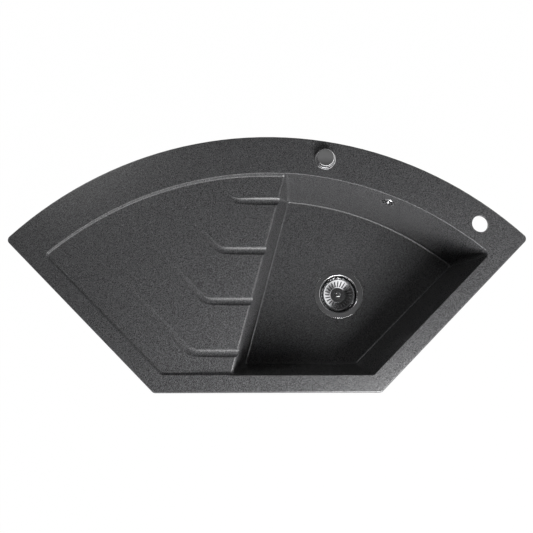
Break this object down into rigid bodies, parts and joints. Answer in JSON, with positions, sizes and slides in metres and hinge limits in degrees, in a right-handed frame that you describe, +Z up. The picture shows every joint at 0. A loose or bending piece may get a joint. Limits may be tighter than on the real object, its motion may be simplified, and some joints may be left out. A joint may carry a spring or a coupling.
{
  "type": "corner kitchen sink",
  "caption": "Dark composite corner kitchen sink with a grooved drainer, a deep bowl, a basket waste, an overflow and a turning knob that lifts the basket.",
  "frame": {"origin": "centre of the rim's overall size, on the worktop's surface that the rim rests on", "axes": "+Z up, +Y towards the round back edge, +X towards the bowl's side, the straight front edge at -Y"},
  "size_m": [1.0586, 0.5249, 0.3316],
  "materials": {
    "composite": "satin",
    "chrome": "polished",
    "stainless": "satin",
    "zinc_steel": "satin",
    "brass": "satin",
    "black_rubber": "matte",
    "grey_foam": "matte",
    "black_plastic": "matte",
    "grey_plastic": "matte"
  },
  "bodies": {
    "sink": {"sink_basin": "composite", "worktop_seal": "grey_foam", "fixing_clips": "zinc_steel", "clip_screws": "zinc_steel", "strainer_cup": "stainless", "upper_waste_gasket": "black_rubber", "lower_waste_gasket": "black_rubber", "waste_body": "black_plastic", "clamp_bolt": "stainless", "rocker_seal": "black_rubber", "rocker_gland_nut": "black_plastic", "waste_cable_gland": "zinc_steel", "overflow_cover": "stainless", "overflow_screw": "stainless", "overflow_gasket": "black_rubber", "overflow_elbow": "black_plastic", "overflow_down_tube": "grey_plastic", "overflow_corner_elbow": "black_plastic", "overflow_cross_tube": "grey_plastic", "slip_nuts": "black_plastic", "cone_washers": "black_rubber", "knob_collar": "chrome", "control_stem": "brass", "ledge_washer": "black_rubber", "ledge_nut": "brass", "control_housing": "black_plastic", "control_cable_gland": "zinc_steel"},
    "control": {"control_knob": "chrome", "knob_grub_screw": "zinc_steel", "control_spindle": "brass", "spindle_clip": "zinc_steel", "cable_wheel": "grey_plastic"},
    "rocker": {"rocker_shaft": "grey_plastic", "rocker_crank": "grey_plastic", "crank_screw": "zinc_steel"},
    "lift_pin": {"lift_pin": "stainless"},
    "basket": {"basket_strainer": "stainless", "basket_grip": "stainless", "basket_stopper": "black_rubber"}
  },
  "joints": [
    {"name": "knob_turn", "type": "hinge", "parent": "sink", "child": "control", "pos_m": [0.12101, 0.21294, 0], "axis": [0, 0, 1], "range_deg": [0, 90]},
    {"name": "rocker_turn", "type": "hinge", "parent": "sink", "child": "rocker", "pos_m": [0.1678, -0.0717, -0.2478], "axis": [1, 0, 0], "range_deg": [0, 23.1]},
    {"name": "pin_lift", "type": "slide", "parent": "sink", "child": "lift_pin", "axis": [0, 0, 1], "range_m": [0, 0.0081]},
    {"name": "basket_lift", "type": "slide", "parent": "lift_pin", "child": "basket", "axis": [0, 0, 1], "range_m": [0, 0.06]}
  ],
  "couplings": [
    {"joint": "rocker_turn", "follows": "knob_turn", "ratio": 0.25638},
    {"joint": "pin_lift", "follows": "knob_turn", "m_per_rad": 0.005093}
  ]
}
